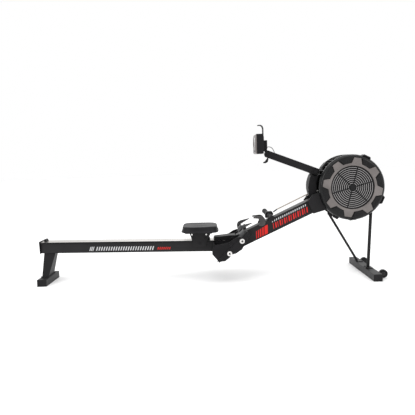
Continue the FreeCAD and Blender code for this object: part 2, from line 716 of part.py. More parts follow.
def build_chain_guide():
    x, z = at_front(537), 563
    r = size("guide_radius")
    tyre = rod("Dims.guide_radius", (x, -9, z), (x, 9, z))
    keep(cut(tyre, rod("4.05", (x, -12, z), (x, 12, z))), "chain_guide_roller")
    keep(rod("4", (x, -15, z), (x, 15, z)), "chain_guide_pin")
    foot_z = z - r - 4
    cheeks = both(lambda sign: solid_prism([(x - 12, foot_z), (x + 8, foot_z + 4), (x + 8, z + 7),
                                            (x - 12, z + 7)], 3, sign * 11.5))
    holes = rod("4.0", (x, -20, z), (x, 20, z))
    group("chain_guide_cheeks", [cut(item, holes) for item in cheeks])
    inner_end = (axle_x, 0, axle_z + size("sprocket_radius") + 4.5)
    keep(rod("3.5", (x + 14, 0, z + r + 14), inner_end), "chain_inner_run")
    low, high = beam(90, -58), beam(600, -58)
    keep(rod("5", at_y(low, 0), at_y(high, 0)), "return_bungee")
    idlers = []
    for place in (beam(70, -47), beam(622, -47)):
        wheel = rod("16", at_y(place, -6), at_y(place, 6))
        idlers.append(cut(wheel, rod("4.05", at_y(place, -9), at_y(place, 9))))
    group("return_idlers", idlers)
    pins = []
    reach = size("beam_width") / 2 - size("beam_wall")
    for place in (beam(70, -47), beam(622, -47)):
        pins.append(rod("4", at_y(place, -reach), at_y(place, reach)))
    group("idler_pins", pins)


# ---- Console ------------------------------------------------------------------------

def build_console():
    long = size("arm_length")
    deep = size("arm_depth") / 2
    wide = size("arm_width")
    arm_outline = [arm(-14, -deep), arm(long - 16, -deep), arm(long, -deep + 12), arm(long, deep - 14),
                   arm(long - 12, deep), arm(-14, deep)]
    bore = arm(long - 20)
    tilt_hole = rod("5.05", (bore[0], -wide, bore[1]), (bore[0], wide, bore[1]))
    keep(cut(solid_prism(arm_outline, wide, 0), tilt_hole), "console_arm")
    lugs = both(lambda sign: solid_prism([arm(-20, -24), arm(26, -24), arm(26, 24), arm(-20, 24)],
                                         6, sign * (wide / 2 + 3 + SEAM)))
    spot = at_y(arm_pivot, 0)
    group("arm_clevis", lugs)
    knobs = both(lambda sign: rod("15", (spot[0], sign * (wide / 2 + 6.6), spot[2]),
                                  (spot[0], sign * (wide / 2 + 14), spot[2])))
    group("arm_pivot_knobs", knobs)
    front = at_front(163)
    back = front + 8 + size("console_thick")
    low = 880
    high = low + size("console_height")
    half = size("console_width") / 2
    mid = (low + high) / 2
    keep(solid_prism([(front + 8, low), (back, low), (back + 4, low + 30), (back + 4, high - 20),
                      (back - 2, high), (front + 8, high)], 2 * half, 0), "console_case")
    fascia = solid_prism([(front + 7.7, low - 1), (front + 7.7, high + 1), (front + 2, high - 4),
                          (front - 1.5, mid + 38), (front - 3, mid + 6), (front - 2, low + 6)],
                         2 * half + 4, 0)
    pocket = block((front - 10, -62.3, mid - 16.3), (front + 4, 62.3, mid + 46.3))
    keep(cut(fascia, pocket), "console_bezel")
    keep(block((front + 1, -62, mid - 16), (front + 4 - SEAM, 62, mid + 46)), "console_screen")
    buttons = [block((front - 4.8, y - 12, low + 14), (front - 3.3, y + 12, low + 26))
               for y in (-44, 0, 44)]
    for k, item in enumerate(buttons):
        keep(item, "console_button_%d" % (k + 1))
    keep(block((back + 4.3, -45, 912), (back + 32, 45, 974)), "console_mount_box")
    pivot = arm(long - 20)
    ears = both(lambda sign: solid_prism([(back + 8, 912), (back + 31, 912), (pivot[0] + 9, pivot[1]),
                                          (pivot[0] + 3, pivot[1] - 9), (pivot[0] - 6, pivot[1] - 8),
                                          (pivot[0] - 12, pivot[1] + 6)],
                                         5, sign * (wide / 2 + 2.5 + SEAM)))
    pin = rod("5", (pivot[0], -wide / 2 - 5.3, pivot[1]), (pivot[0], wide / 2 + 5.3, pivot[1]))
    hole = rod("5", (pivot[0], -wide, pivot[1]), (pivot[0], wide, pivot[1]))
    group("console_neck", [cut(item, hole) for item in ears] + [pin])
    holder_x = back + 4.3
    keep(solid_prism([(holder_x, 975), (holder_x + 5, 975), (holder_x + 5, 1058),
                      (holder_x + 2, 1070), (holder_x - 6, 1080), (holder_x - 16, 1084),
                      (holder_x - 34, 1084), (holder_x - 34, 1079.5), (holder_x - 17, 1079.5),
                      (holder_x - 9, 1076), (holder_x - 2, 1067), (holder_x, 1057)], 60, 0),
         "phone_holder")
    lever = arm(long - 34, deep + SEAM + 5)
    blade = solid_prism([(lever[0] - 4.5, lever[1] + 1), (lever[0] - 11, lever[1] - 6),
                         (lever[0] - 17, lever[1] - 17), (lever[0] - 31, lever[1] - 24),
                         (lever[0] - 32, lever[1] - 31), (lever[0] - 14, lever[1] - 32),
                         (lever[0] - 1, lever[1] - 24), (lever[0] + 5, lever[1] - 6),
                         (lever[0] + 4.5, lever[1] + 1)], 22, 0)
    keep(fuse([blade, rod("5", (lever[0], -11, lever[1]), (lever[0], 11, lever[1]))]), "arm_lever")


def arc_tube(points, radius):
    """A cord's tube: straight runs joined by the largest tangent arcs their lengths allow."""
    places = [V(*p) for p in points]
    edges = []
    last = places[0]
    for before, corner, after in zip(places, places[1:], places[2:]):
        into = (corner - before).normalize()
        out = (after - corner).normalize()
        trim = 0.45 * min((corner - before).Length, (after - corner).Length)
        start = corner - into * trim
        end = corner + out * trim
        half = into.getAngle(out) / 2
        bend = trim / math.tan(half)
        print("cord bend radius %.1f" % bend)
        toward = (out - into).normalize()
        middle = corner + toward * (bend / math.cos(half) - bend)
        edges += [Part.LineSegment(last, start).toShape(), Part.Arc(start, middle, end).toShape()]
        last = end
    edges.append(Part.LineSegment(last, places[-1]).toShape())
    path = Part.Wire(edges)
    ring = Part.Circle(places[0], places[1] - places[0], radius).toShape()
    item = doc.addObject("Part::Feature", "Tube")
    item.Shape = path.makePipeShell([Part.Wire([ring])], True, True)
    return item


def build_console_cable():
    """The sensor lead loops out of the mounting box and into the top of the arm."""
    back = at_front(163) + 8 + size("console_thick") + 32
    entry = arm(319, -size("arm_depth") / 2 - 2.1)
    route = [(back + 0.9, 0, 924), (back + 15, 0, 927.5), (back + 30, 0, 924),
             (back + 42, 0, 914), (back + 49, 0, 900), (entry[0], 0, entry[1])]
    keep(arc_tube(route, size("cable_radius")), "console_cable")


# ---- Front legs and wheels -----------------------------------------------------------

def build_front():
    foot_bar("front_foot", front_bar_x, "foot_bar_depth", "front_foot_width")
    top = polar(212, -48)
    keep(rod("11", at_y(top, -65.7), (front_bar_x - 3, -90, FOOT_TOP + 5)), "front_strut_near")
    top = polar(241, 242)
    keep(rod("9", at_y(top, 94.4), (front_bar_x - 14, 140, FOOT_TOP + 5)), "front_strut_far")
    pads = [block((front_bar_x - 28, y - 28, FOOT_TOP), (front_bar_x + 22, y + 28, FOOT_TOP + 5))
            for y in (-92, 140)]
    group("strut_base_plates", pads)
    bolts = [rod("6", (front_bar_x - 20, y + dy, FOOT_TOP + 5), (front_bar_x - 20, y + dy, FOOT_TOP + 10))
             for y in (-92, 140) for dy in (-20, 20)]
    group("strut_base_bolts", bolts)
    track = size("wheel_track")
    spot_x = front_bar_x + size("foot_bar_depth") / 2 + 32
    spot_z = 5 + size("wheel_radius")
    for sign, side in ((-1, "near"), (1, "far")):
        y = sign * track
        tyre = rod("Dims.wheel_radius", (spot_x, y - 12, spot_z), (spot_x, y + 12, spot_z))
        keep(cut(tyre, rod("5.05", (spot_x, y - 20, spot_z), (spot_x, y + 20, spot_z))),
             "transport_wheel_" + side)
        keep(rod("5", (spot_x, y - 18, spot_z), (spot_x, y + 18, spot_z)), "wheel_pin_" + side)
        ears = [solid_prism([(front_bar_x + size("foot_bar_depth") / 2, 16),
                             (spot_x + 8, spot_z - 10), (spot_x + 8, spot_z + 10),
                             (front_bar_x + size("foot_bar_depth") / 2, 44)], 4, y + dy)
                for dy in (-16, 16)]
        hole = rod("5.0", (spot_x, y - 30, spot_z), (spot_x, y + 30, spot_z))
        group("wheel_bracket_" + side, [cut(item, hole) for item in ears])


# Small pieces that share a node with what they are fixed to.
SHARED_NODES = [
    ("rail_stops", ("rail_rear_cap", "front_seat_stop", "rear_seat_stop",
                    "rail_end_cover")),
    ("rear_leg_foot", ("rear_leg_base", "rear_leg_bolts")),
    ("foot_bar_caps", ("rear_foot_caps", "front_foot_caps")),
    ("footrest_brackets", ("footrest_bracket_near", "footrest_bracket_far", "footrest_cross_plate",
                           "footrest_flange_near", "footrest_flange_far")),
    ("footrest_bolts", ("footrest_bolt_heads", "footrest_spacers")),
    ("foot_boards", ("foot_board_near", "foot_board_far")),
    ("foot_straps", ("foot_strap_near", "foot_strap_far")),
    ("strap_buckles", ("strap_buckle_near", "strap_buckle_far")),
    ("heel_rest_near", ("heel_cup_near", "heel_cup_knob_near")),
    ("heel_rest_far", ("heel_cup_far", "heel_cup_knob_far")),
    ("seat_carriage", ("seat_pan", "carriage_plate_near", "carriage_plate_far",
                       "seat_axle_nuts")),
    ("seat_bolts", ("seat_axles", "seat_pan_nuts")),
    ("guide_rollers", ("guide_roller_near", "guide_roller_far")),
    ("flywheel", ("flywheel_axle", "flywheel_hub", "flywheel_disc")),
    ("fan_cage", ("cage_slats", "cage_clamps")),
    ("fan_grille", ("intake_grille", "grille_hub_cap")),
    ("frame_head", ("frame_plate_near", "frame_plate_far", "frame_spacers", "arm_clevis")),
    ("case_side_plate", ("shroud_plate", "shroud_screws")),
    ("handle_grips", ("handle_grip_near", "handle_grip_far", "handle_end_near",
                      "handle_end_far")),
    ("handle_centre", ("handle_block", "chain_shackle")),
    ("handle_hooks", ("handle_hook_near", "handle_hook_far")),
    ("chain_guide", ("chain_guide_cheeks", "chain_guide_pin")),
    ("chain_return", ("chain_inner_run", "return_bungee", "return_idlers", "idler_pins")),
    ("console_bracket", ("console_mount_box", "console_neck")),
    ("front_struts", ("front_strut_near", "front_strut_far")),
    ("front_foot_fittings", ("strut_base_plates", "strut_base_bolts", "wheel_bracket_near",
                             "wheel_bracket_far", "wheel_pin_near", "wheel_pin_far")),
]


def share_nodes():
    for label, members in SHARED_NODES:
        items = [item for item in nodes if item.Label in members]
        if len(items) != len(members):
            raise RuntimeError("a piece of %s is missing" % label)
        for item in items:
            nodes.remove(item)
        group(label, items)


def write_steps():
    """Check the document, then write one STEP per node."""
    doc.recompute()
    for item in doc.Objects:
        if "Invalid" in item.State or "Error" in item.State:
            raise RuntimeError("%s (%s) failed" % (item.Name, item.Label))
    for item in nodes:
        if item.Shape.isNull() or not item.Shape.isValid():
            raise RuntimeError("%s has a bad shape" % item.Label)
    os.makedirs("parts", exist_ok=True)
    for item in nodes:
        item.Shape.exportStep("parts/%s.step" % item.Label)
    print("%d nodes" % len(nodes))


build_rail()
build_rear_leg()
build_beam()
build_footrests()
build_seat()
build_flywheel()
build_housing()
build_frame_head()
build_shroud()
build_handle()
build_hooks()
build_chain_guide()
build_console()
build_console_cable()
build_front()
share_nodes()
write_steps()
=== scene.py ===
"""Looks of the air rowing machine: materials, soft parts, chain, graphics, light and camera."""
import json
import math

import bmesh
import bpy
from mathutils import Matrix, Vector


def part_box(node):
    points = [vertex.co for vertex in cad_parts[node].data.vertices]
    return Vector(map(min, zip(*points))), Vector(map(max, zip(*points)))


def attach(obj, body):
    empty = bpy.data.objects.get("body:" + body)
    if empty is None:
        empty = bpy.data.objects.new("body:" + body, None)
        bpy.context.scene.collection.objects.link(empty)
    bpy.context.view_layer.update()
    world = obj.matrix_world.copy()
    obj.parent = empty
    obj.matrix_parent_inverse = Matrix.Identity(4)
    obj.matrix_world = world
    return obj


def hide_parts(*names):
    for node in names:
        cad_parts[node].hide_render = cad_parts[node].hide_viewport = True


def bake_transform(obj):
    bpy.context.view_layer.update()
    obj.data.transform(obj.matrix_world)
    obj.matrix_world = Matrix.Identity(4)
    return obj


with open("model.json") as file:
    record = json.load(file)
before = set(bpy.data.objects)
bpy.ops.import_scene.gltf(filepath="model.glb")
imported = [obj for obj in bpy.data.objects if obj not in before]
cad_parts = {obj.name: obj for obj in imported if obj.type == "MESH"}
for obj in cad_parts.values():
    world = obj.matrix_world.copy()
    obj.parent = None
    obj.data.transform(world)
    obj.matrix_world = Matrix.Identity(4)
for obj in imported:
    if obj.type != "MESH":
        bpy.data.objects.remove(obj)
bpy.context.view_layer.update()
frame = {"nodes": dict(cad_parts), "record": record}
NODES = frame["nodes"]
RECORD = frame["record"]
SLOT_OF = {row["node"]: row["material_slot"] for row in RECORD["subparts"]}
MM = 0.001
RAIL_FALL = math.radians(1.2)       # the rail drops towards the front
BEAM_RISE = math.radians(24.2)      # the main beam climbs towards the flywheel
FOOT_RISE = math.radians(43)        # slope of the foot boards
BEAM_DEPTH, BEAM_SIDE = 0.094, 0.050
RAIL_DEPTH, RAIL_SIDE = 0.072, 0.042
BLACK = (0.0085, 0.008, 0.009)
LIFT = 0.0001                       # a thin mark is set this far off its face, or into it
MARK_HEIGHT = 0.0007                # bands and ribs on the housing
FILM = 0.0004                       # printed marks on the beam and the rail


# ---- Camera, light and floor ---------------------------------------------------

def make_camera():
    """A level-eyed view from the near side, a little above the machine."""
    place = Vector((0.0454, -3.5508, 0.8448))
    yaw, pitch, roll = -0.016, 0.0945, -0.0364
    ahead = Vector((math.sin(yaw) * math.cos(pitch), math.cos(yaw) * math.cos(pitch),
                    -math.sin(pitch)))
    level = Vector((math.cos(yaw), -math.sin(yaw), 0))
    upright = level.cross(ahead)
    right = level * math.cos(roll) + upright * math.sin(roll)
    up = upright * math.cos(roll) - level * math.sin(roll)
    data = bpy.data.cameras.new("camera")
    data.lens = 42.75
    data.sensor_width = 36
    camera = bpy.data.objects.new("camera", data)
    turn = Matrix((right, up, -ahead)).transposed()
    camera.matrix_world = Matrix.Translation(place) @ turn.to_4x4()
    bpy.context.scene.collection.objects.link(camera)
    bpy.context.scene.camera = camera


def area_light(name, place, target, size, power):
    data = bpy.data.lights.new(name, "AREA")
    data.shape = "RECTANGLE"
    data.size, data.size_y = size
    data.energy = power
    lamp = bpy.data.objects.new(name, data)
    lamp.location = place
    lamp.rotation_euler = (Vector(target) - Vector(place)).to_track_quat("-Z", "Y").to_euler()
    bpy.context.scene.collection.objects.link(lamp)


def make_stage():
    """White surroundings, a wide pale floor and four soft lamps."""
    world = bpy.data.worlds.new("world")
    world.use_nodes = True
    world.node_tree.nodes["Background"].inputs["Color"].default_value = (1, 1, 1, 1)
    world.node_tree.nodes["Background"].inputs["Strength"].default_value = 1.0
    bpy.context.scene.world = world
    bpy.context.scene.view_settings.view_transform = "Standard"
    bpy.ops.mesh.primitive_plane_add(size=60)
    floor = bpy.context.object
    floor.name = "floor"
    mat = bpy.data.materials.new("floor")
    mat.use_nodes = True
    shader = mat.node_tree.nodes["Principled BSDF"]
    shader.inputs["Base Color"].default_value = (0.96, 0.96, 0.96, 1)
    shader.inputs["Roughness"].default_value = 0.7
    shader.inputs["Specular IOR Level"].default_value = 0.2
    shader.inputs["Emission Color"].default_value = (1, 1, 1, 1)
    shader.inputs["Emission Strength"].default_value = 0.05
    floor.data.materials.append(mat)
    area_light("overhead", (0.2, -0.6, 4.2), (0, 0, 0.3), (5.0, 3.0), 60)
    area_light("left", (-3.4, -3.2, 2.2), (0, 0, 0.4), (1.4, 2.6), 50)
    area_light("right", (3.8, -2.6, 2.0), (0.6, 0, 0.5), (1.0, 2.6), 25)
    area_light("behind", (0.5, 3.6, 2.6), (0, 0, 0.5), (4.0, 1.6), 30)


# ---- Materials --------------------------------------------------------------------

def link(tree, source, out, target, inlet):
    tree.links.new(source.outputs[out], target.inputs[inlet])


def surface(name, colour, rough, metal=0.0, grain=900.0, bump=0.08, vary=0.18, coat=0.0,
            worn=None, stretch=(1, 1, 1), edge=0.0008, sheen=0.14):
    """One finish: mottled colour, uneven roughness, fine grain and softened edges."""
    mat = bpy.data.materials.new(name)
    mat.use_nodes = True
    tree = mat.node_tree
    shader = tree.nodes["Principled BSDF"]
    shader.inputs["Metallic"].default_value = metal
    shader.inputs["Specular IOR Level"].default_value = sheen
    shader.inputs["Coat Weight"].default_value = coat
    shader.inputs["Coat Roughness"].default_value = 0.12
    where = tree.nodes.new("ShaderNodeTexCoord")
    scale = tree.nodes.new("ShaderNodeMapping")
    scale.inputs["Scale"].default_value = stretch
    link(tree, where, "Object", scale, "Vector")
    broad = tree.nodes.new("ShaderNodeTexNoise")
    broad.inputs["Scale"].default_value = 9.0
    broad.inputs["Detail"].default_value = 5.0
    link(tree, scale, "Vector", broad, "Vector")
    fine = tree.nodes.new("ShaderNodeTexNoise")
    fine.inputs["Scale"].default_value = grain
    fine.inputs["Detail"].default_value = 3.0
    link(tree, scale, "Vector", fine, "Vector")
    shade = tree.nodes.new("ShaderNodeValToRGB")
    low = [c * (1 - vary) for c in colour] + [1]
    high = [min(1.0, c * (1 + vary)) for c in colour] + [1]
    shade.color_ramp.elements[0].position = 0.35
    shade.color_ramp.elements[1].position = 0.65
    shade.color_ramp.elements[0].color = low
    shade.color_ramp.elements[1].color = high
    link(tree, broad, "Fac", shade, "Fac")
    top = shade
    if worn:
        shape = tree.nodes.new("ShaderNodeNewGeometry")
        rim = tree.nodes.new("ShaderNodeMapRange")
        rim.inputs["From Min"].default_value = 0.52
        rim.inputs["From Max"].default_value = 0.62
        rim.inputs["To Max"].default_value = 0.45
        link(tree, shape, "Pointiness", rim, "Value")
        mix = tree.nodes.new("ShaderNodeMixRGB")
        mix.inputs["Color2"].default_value = list(worn) + [1]
        link(tree, rim, "Result", mix, "Fac")
        link(tree, shade, "Color", mix, "Color1")
        top = mix
    link(tree, top, "Color", shader, "Base Color")
    gloss = tree.nodes.new("ShaderNodeMapRange")
    gloss.inputs["To Min"].default_value = max(0.03, rough - 0.06)
    gloss.inputs["To Max"].default_value = min(1.0, rough + 0.08)
    link(tree, fine, "Fac", gloss, "Value")
    link(tree, gloss, "Result", shader, "Roughness")
    soft = tree.nodes.new("ShaderNodeBevel")
    soft.samples = 4
    soft.inputs["Radius"].default_value = edge
    relief = tree.nodes.new("ShaderNodeBump")
    relief.inputs["Strength"].default_value = bump
    relief.inputs["Distance"].default_value = 0.0006
    link(tree, fine, "Fac", relief, "Height")
    link(tree, soft, "Normal", relief, "Normal")
    link(tree, relief, "Normal", shader, "Normal")
    return mat


def make_materials():
    """The finish of each slot, and those of the pieces made here."""
    grey_edge = (0.05, 0.05, 0.05)
    return {
        "frame_black": surface("frame_black", BLACK, 0.42, grain=1400, bump=0.16,
                               worn=grey_edge, edge=0.002),
        "track_steel": surface("track_steel", (0.62, 0.60, 0.57), 0.28, 1.0, grain=500,
                               stretch=(0.04, 1, 1), bump=0.05),
        "black_plastic": surface("black_plastic", BLACK, 0.48, grain=1900, bump=0.22),
        "gloss_shell": surface("gloss_shell", (0.007, 0.007, 0.0075), 0.24, coat=0.15, bump=0.03,
                               edge=0.0015),
        "silver_plastic": surface("silver_plastic", (0.165, 0.150, 0.145), 0.36, 0.35, coat=0.08,
                                  bump=0.05, edge=0.0012),
        "hook_grey": surface("hook_grey", (0.060, 0.058, 0.058), 0.42, 0.2, bump=0.2,
                             worn=(0.2, 0.2, 0.2), edge=0.002),
        "zinc": surface("zinc", (0.72, 0.71, 0.70), 0.26, 0.9, grain=700, bump=0.06),
        "steel": surface("steel", (0.42, 0.41, 0.40), 0.30, 1.0, bump=0.06),
        "rubber": surface("rubber", (0.013, 0.0125, 0.0135), 0.66, grain=1500, bump=0.3),
        "tyre": surface("tyre", (0.010, 0.010, 0.011), 0.58, grain=1500, bump=0.2),
        "cable_black": surface("cable_black", (0.015, 0.015, 0.016), 0.5, bump=0.1),
        "seat_foam": surface("seat_foam", (0.011, 0.011, 0.0125), 0.46, grain=1300, bump=0.28,
                             vary=0.25),
        # The fan is coloured near black: painted shade for the dark inside of the housing behind
        # the grille.
        "fan_aluminium": surface("fan_aluminium", (0.022, 0.022, 0.024), 0.45, 0.4),
        "chain_nickel": surface("chain_nickel", (0.36, 0.31, 0.26), 0.30, 1.0, bump=0.08),
        "glass_screen": surface("glass_screen", (0.045, 0.055, 0.05), 0.08, coat=1.0, bump=0.0),
        "button_grey": surface("button_grey", (0.24, 0.24, 0.25), 0.5, bump=0.15),
        "steel_dark": surface("steel_dark", (0.02, 0.02, 0.021), 0.4, 0.6),
        "ring_grey": surface("ring_grey", (0.30, 0.29, 0.29), 0.4, 0.3, vary=0.08),
        "decal_red": surface("decal_red", (0.62, 0.022, 0.018), 0.35, bump=0.02, vary=0.06),
        "decal_silver": surface("decal_silver", (0.55, 0.55, 0.56), 0.35, 0.2, bump=0.02,
                                vary=0.06),
        "webbing": weave_material("webbing", (0.042, 0.042, 0.044)),
    }


def weave_material(name, colour, pitch=0.0016):
    """Woven webbing: two crossed waves make the ribs and the picks."""
    mat = bpy.data.materials.new(name)
    mat.use_nodes = True
    tree = mat.node_tree
    shader = tree.nodes["Principled BSDF"]
    shader.inputs["Roughness"].default_value = 0.85
    shader.inputs["Sheen Weight"].default_value = 0.35
    where = tree.nodes.new("ShaderNodeTexCoord")
    waves = []
    for direction in ("X", "Y"):
        wave = tree.nodes.new("ShaderNodeTexWave")
        wave.bands_direction = direction
        wave.inputs["Scale"].default_value = 0.314 / pitch
        link(tree, where, "Object", wave, "Vector")
        waves.append(wave)
    cross = tree.nodes.new("ShaderNodeMath")
    cross.operation = "MULTIPLY"
    link(tree, waves[0], "Fac", cross, 0)
    link(tree, waves[1], "Fac", cross, 1)
    ramp = tree.nodes.new("ShaderNodeValToRGB")
    ramp.color_ramp.elements[0].color = [c * 0.6 for c in colour] + [1]
    ramp.color_ramp.elements[1].color = [c * 1.4 for c in colour] + [1]
    link(tree, cross, "Value", ramp, "Fac")
    link(tree, ramp, "Color", shader, "Base Color")
    relief = tree.nodes.new("ShaderNodeBump")
    relief.inputs["Strength"].default_value = 0.5
    relief.inputs["Distance"].default_value = 0.0005
    link(tree, cross, "Value", relief, "Height")
    link(tree, relief, "Normal", shader, "Normal")
    return mat


def painted_sides(mat):
    """Only the upward face stays bare metal: the sides take the frame's black paint."""
    tree = mat.node_tree
    shader = tree.nodes["Principled BSDF"]
    shape = tree.nodes.new("ShaderNodeNewGeometry")
    parts = tree.nodes.new("ShaderNodeSeparateXYZ")
    link(tree, shape, "True Normal", parts, "Vector")
    bare = tree.nodes.new("ShaderNodeMath")
    bare.operation = "GREATER_THAN"
    bare.inputs[1].default_value = 0.7
    link(tree, parts, "Z", bare, 0)
    link(tree, bare, "Value", shader, "Metallic")
    mix = tree.nodes.new("ShaderNodeMixRGB")
    mix.inputs["Color1"].default_value = (*BLACK, 1)
    link(tree, bare, "Value", mix, "Fac")
    colour = shader.inputs["Base Color"].links[0].from_socket
    tree.links.new(colour, mix.inputs["Color2"])
    link(tree, mix, "Color", shader, "Base Color")
    return mat


MAT = make_materials()
MAT["track_steel"] = painted_sides(MAT["track_steel"])


def dress_frame():
    """Every CAD node takes its slot's finish, welded and with small rolled edges."""
    rolled = {"frame_black": 0.0022, "black_plastic": 0.0012, "rubber": 0.0016,
              "hook_grey": 0.0022, "silver_plastic": 0.0012, "zinc": 0.0012,
              "gloss_shell": 0.0012, "button_grey": 0.0008}
    for name, obj in NODES.items():
        slot = SLOT_OF[name]
        obj.data.materials.clear()
        obj.data.materials.append(MAT[slot])
        if slot in rolled:
            weld = obj.modifiers.new("weld", "WELD")
            weld.merge_threshold = 0.00002
            edge = obj.modifiers.new("edge", "BEVEL")
            edge.width = rolled[slot]
            edge.segments = 2
            edge.limit_method = "ANGLE"
            edge.angle_limit = math.radians(38)
            edge.use_clamp_overlap = True
            edge.harden_normals = True


# ---- Mesh making -------------------------------------------------------------------

def new_object(name, bm, material, body=None, smooth=True):
    """A mesh object with one finish; without a body, the caller says how it moves."""
    data = bpy.data.meshes.new(name)
    bmesh.ops.recalc_face_normals(bm, faces=bm.faces)
    bm.to_mesh(data)
    bm.free()
    data.materials.append(material)
    for face in data.polygons:
        face.use_smooth = smooth
    obj = bpy.data.objects.new(name, data)
    bpy.context.scene.collection.objects.link(obj)
    if body:
        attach(obj, body)
    return obj


def skin(bm, rings, capped=True):
    """Faces between rings of vertices, and over the first and the last."""
    count = len(rings[0])
    for a, b in zip(rings, rings[1:]):
        for k in range(count):
            bm.faces.new((a[k], a[(k + 1) % count], b[(k + 1) % count], b[k]))
    if capped:
        bm.faces.new(rings[0][::-1])
        bm.faces.new(rings[-1])


def centre(node):
    low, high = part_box(node)
    return Vector([(a + b) / 2 for a, b in zip(low, high)])


def along_foot(along, above):
    """X and Z of a step along the foot boards and square to them."""
    c, s = math.cos(FOOT_RISE), math.sin(FOOT_RISE)
    return along * c - above * s, along * s + above * c


def wheel_middle():
    """Where the flywheel's axis crosses the centre plane."""
    middle = centre("flywheel")
    return Vector((middle.x, 0, middle.z))


# ---- Seat pad --------------------------------------------------------------------------

def seat_top(x, y):
    """Height above the pad's flat rim: two seat hollows and a raised nose between them."""
    hollow = 0.0
    for side in (-1, 1):
        hollow += math.exp(-((x + 0.2) / 0.62) ** 2 - ((y - 0.42 * side) / 0.34) ** 2)
    groove = 0.6 * math.exp(-((x + 0.95) / 0.34) ** 2 - (y / 0.16) ** 2)
    return -0.011 * hollow - 0.013 * groove


def make_seat_pad():
    """The moulded pad: rings of points that share one rounded outline."""
    low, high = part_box("seat_pad")
    mid = centre("seat_pad")
    reach_x = (high[0] - low[0]) / 2
    reach_y = (high[1] - low[1]) / 2
    rim = 0.0025                    # the underside's gap to the pan's slope at each end
    tall = high[2] - low[2] - 2 * rim
    fall = math.tan(RAIL_FALL)
    around = 96
    power = 2 / 4.6                 # squareness of the outline
    # Share of the plan size and of the height, from the middle of the top to the underside.
    rows = [(0.12, 1.0), (0.25, 1.0), (0.38, 1.0), (0.5, 1.0), (0.62, 1.0), (0.72, 1.0),
            (0.79, 0.998), (0.845, 0.985), (0.885, 0.955), (0.912, 0.90), (0.926, 0.82),
            (0.936, 0.66), (0.946, 0.48), (0.958, 0.33), (0.976, 0.24), (0.994, 0.19),
            (1.0, 0.155), (1.0, 0.10), (0.994, 0.065), (0.975, 0.035), (0.93, 0.012),
            (0.88, 0.0), (0.5, 0.0)]
    bm = bmesh.new()

    def ring(share, height):
        points = []
        for k in range(around):
            turn = 2 * math.pi * k / around
            c, s = math.cos(turn), math.sin(turn)
            x = math.copysign(abs(c) ** power, c)
            y = math.copysign(abs(s) ** power, s)
            waist = 1 - 0.06 * max(0.0, x)
            lift = seat_top(x * share, y * share) if height > 0.9 else 0.0
            px = x * share * reach_x
            z = low[2] + rim + tall * height + lift - px * fall
            points.append(bm.verts.new((mid.x + px, mid.y + y * share * waist * reach_y, z)))
        return points

    rings = [ring(*row) for row in rows]
    skin(bm, rings, capped=False)
    top = bm.verts.new((mid.x, mid.y, low[2] + rim + tall + seat_top(0, 0)))
    foot = bm.verts.new((mid.x, mid.y, low[2] + rim))
    for k in range(around):
        bm.faces.new((top, rings[0][(k + 1) % around], rings[0][k]))
        bm.faces.new((foot, rings[-1][k], rings[-1][(k + 1) % around]))
    pad = new_object("seat_cushion", bm, MAT["seat_foam"], "seat")
    smooth = pad.modifiers.new("smooth", "SUBSURF")
    smooth.levels = smooth.render_levels = 1
    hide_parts("seat_pad")


# ---- Straps -----------------------------------------------------------------------------

def smooth_path(points, steps):
    """A Catmull-Rom line through the points."""
    line = []
    ends = [points[0]] + list(points) + [points[-1]]
    for a, b, c, d in zip(ends, ends[1:], ends[2:], ends[3:]):
        for k in range(steps):
            t = k / steps
            line.append(0.5 * ((2 * b) + (c - a) * t + (2 * a - 5 * b + 4 * c - d) * t * t
                               + (3 * b - a - 3 * c + d) * t ** 3))
    return line + [points[-1]]


def ribbon(bm, line, across, width, thick):
    """A strap swept along a line; across is the direction of its width."""
    rings = []
    for k, place in enumerate(line):
        ahead = line[min(k + 1, len(line) - 1)] - line[max(k - 1, 0)]
        out = across.cross(ahead).normalized()
        side = across.normalized() * width / 2
        lift = out * thick / 2
        rings.append([bm.verts.new(place + a * side + b * lift)
                      for a, b in ((-1, -1), (1, -1), (1, 1), (-1, 1))])
    skin(bm, rings)


def twisting_tail(bm, line):
    """A free strap end that leaves the buckle flat, turns on edge and tapers to its tip."""
    rings = []
    last = len(line) - 1
    flat = Vector((0, 1, 0))
    for k, place in enumerate(line):
        share = k / last
        ahead = (line[min(k + 1, last)] - line[max(k - 1, 0)]).normalized()
        edgewise = ahead.cross(flat)
        turn = math.radians(80) * min(1.0, share / 0.4)
        side = flat * math.cos(turn) + edgewise * math.sin(turn)
        out = side.cross(ahead)
        wide = 0.026 * (1 - 0.85 * max(0.0, share - 0.45) / 0.55)
        rings.append([bm.verts.new(place + side * wide / 2 * a + out * 0.0012 * b)
                      for a, b in ((-1, -1), (1, -1), (1, 1), (-1, 1))])
    skin(bm, rings)


def foot_line(origin, along, above, y):
    """A place on the footrest: along the board and above it in millimetres, and across."""
    x, z = along_foot(along, above)
    return Vector((origin[0] + x * MM, y, origin[1] + z * MM))


